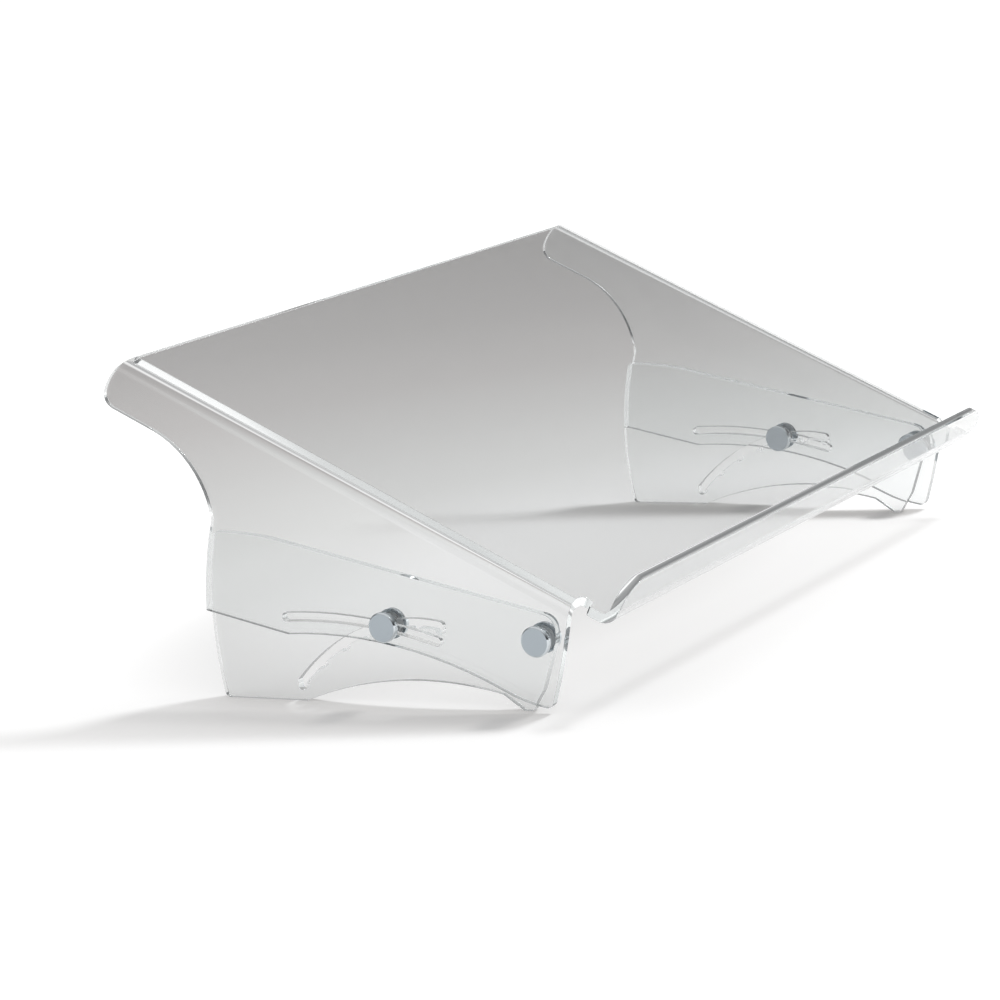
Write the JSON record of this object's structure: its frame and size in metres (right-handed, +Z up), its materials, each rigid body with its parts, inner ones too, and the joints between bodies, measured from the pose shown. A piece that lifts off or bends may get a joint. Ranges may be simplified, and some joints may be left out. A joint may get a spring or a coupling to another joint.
{
  "type": "document holder",
  "caption": "Clear bent-acrylic desk document holder: a sloping tray with front lip, tilting on two foot plates with slotted height setting and disc clamps.",
  "frame": {"origin": "centre of the whole part's footprint box, on the desk", "axes": "+X across the tray to the right, +Y from the lip to the back, +Z up"},
  "size_m": [0.506, 0.2978, 0.1828],
  "materials": {
    "clear_acrylic": "clear, polished",
    "satin_metal": "satin anodised",
    "nylon": "translucent white"
  },
  "bodies": {
    "stand_left": {"foot_left": "clear_acrylic"},
    "holder": {"tray": "clear_acrylic", "front_screw_left": "satin_metal", "front_spacer_left": "nylon", "front_washer_left": "nylon", "front_screw_right": "satin_metal", "front_spacer_right": "nylon", "front_washer_right": "nylon"},
    "stand_right": {"foot_right": "clear_acrylic"},
    "rear_clamp_left": {"rear_screw_left": "satin_metal", "rear_spacer_left": "nylon", "rear_washer_left": "nylon"},
    "rear_clamp_right": {"rear_screw_right": "satin_metal", "rear_spacer_right": "nylon", "rear_washer_right": "nylon"},
    "front_knob_left": {"front_cap_left": "satin_metal"},
    "rear_knob_left": {"rear_cap_left": "satin_metal"},
    "front_knob_right": {"front_cap_right": "satin_metal"},
    "rear_knob_right": {"rear_cap_right": "satin_metal"}
  },
  "joints": [
    {"name": "tray_tilt", "type": "hinge", "parent": "stand_left", "child": "holder", "pos_m": [0, -0.09856, 0.0383], "axis": [1, 0, 0], "range_deg": [-13.9, 7.2]},
    {"name": "right_foot_pivot", "type": "hinge", "parent": "holder", "child": "stand_right", "pos_m": [0, -0.09856, 0.0383], "axis": [1, 0, 0], "range_deg": [-7.3, 14]},
    {"name": "rear_clamp_travel_left", "type": "hinge", "parent": "holder", "child": "rear_clamp_left", "pos_m": [0, 0.03374, -0.21], "axis": [1, 0, 0], "range_deg": [-13.24, 6.93]},
    {"name": "rear_clamp_travel_right", "type": "hinge", "parent": "holder", "child": "rear_clamp_right", "pos_m": [0, 0.03374, -0.21], "axis": [1, 0, 0], "range_deg": [-13.24, 6.93]},
    {"name": "front_knob_turn_left", "type": "hinge", "parent": "holder", "child": "front_knob_left", "pos_m": [0, -0.09856, 0.0383], "axis": [1, 0, 0], "range_deg": [0, 180]},
    {"name": "rear_knob_turn_left", "type": "hinge", "parent": "rear_clamp_left", "child": "rear_knob_left", "pos_m": [0, -0.01006, 0.04283], "axis": [1, 0, 0], "range_deg": [0, 180]},
    {"name": "front_knob_turn_right", "type": "hinge", "parent": "holder", "child": "front_knob_right", "pos_m": [0, -0.09856, 0.0383], "axis": [1, 0, 0], "range_deg": [0, 180]},
    {"name": "rear_knob_turn_right", "type": "hinge", "parent": "rear_clamp_right", "child": "rear_knob_right", "pos_m": [0, -0.01006, 0.04283], "axis": [1, 0, 0], "range_deg": [0, 180]}
  ],
  "couplings": [
    {"joint": "right_foot_pivot", "follows": "tray_tilt", "ratio": -1},
    {"joint": "rear_clamp_travel_left", "follows": "tray_tilt", "ratio": 0.95},
    {"joint": "rear_clamp_travel_right", "follows": "tray_tilt", "ratio": 0.95}
  ]
}
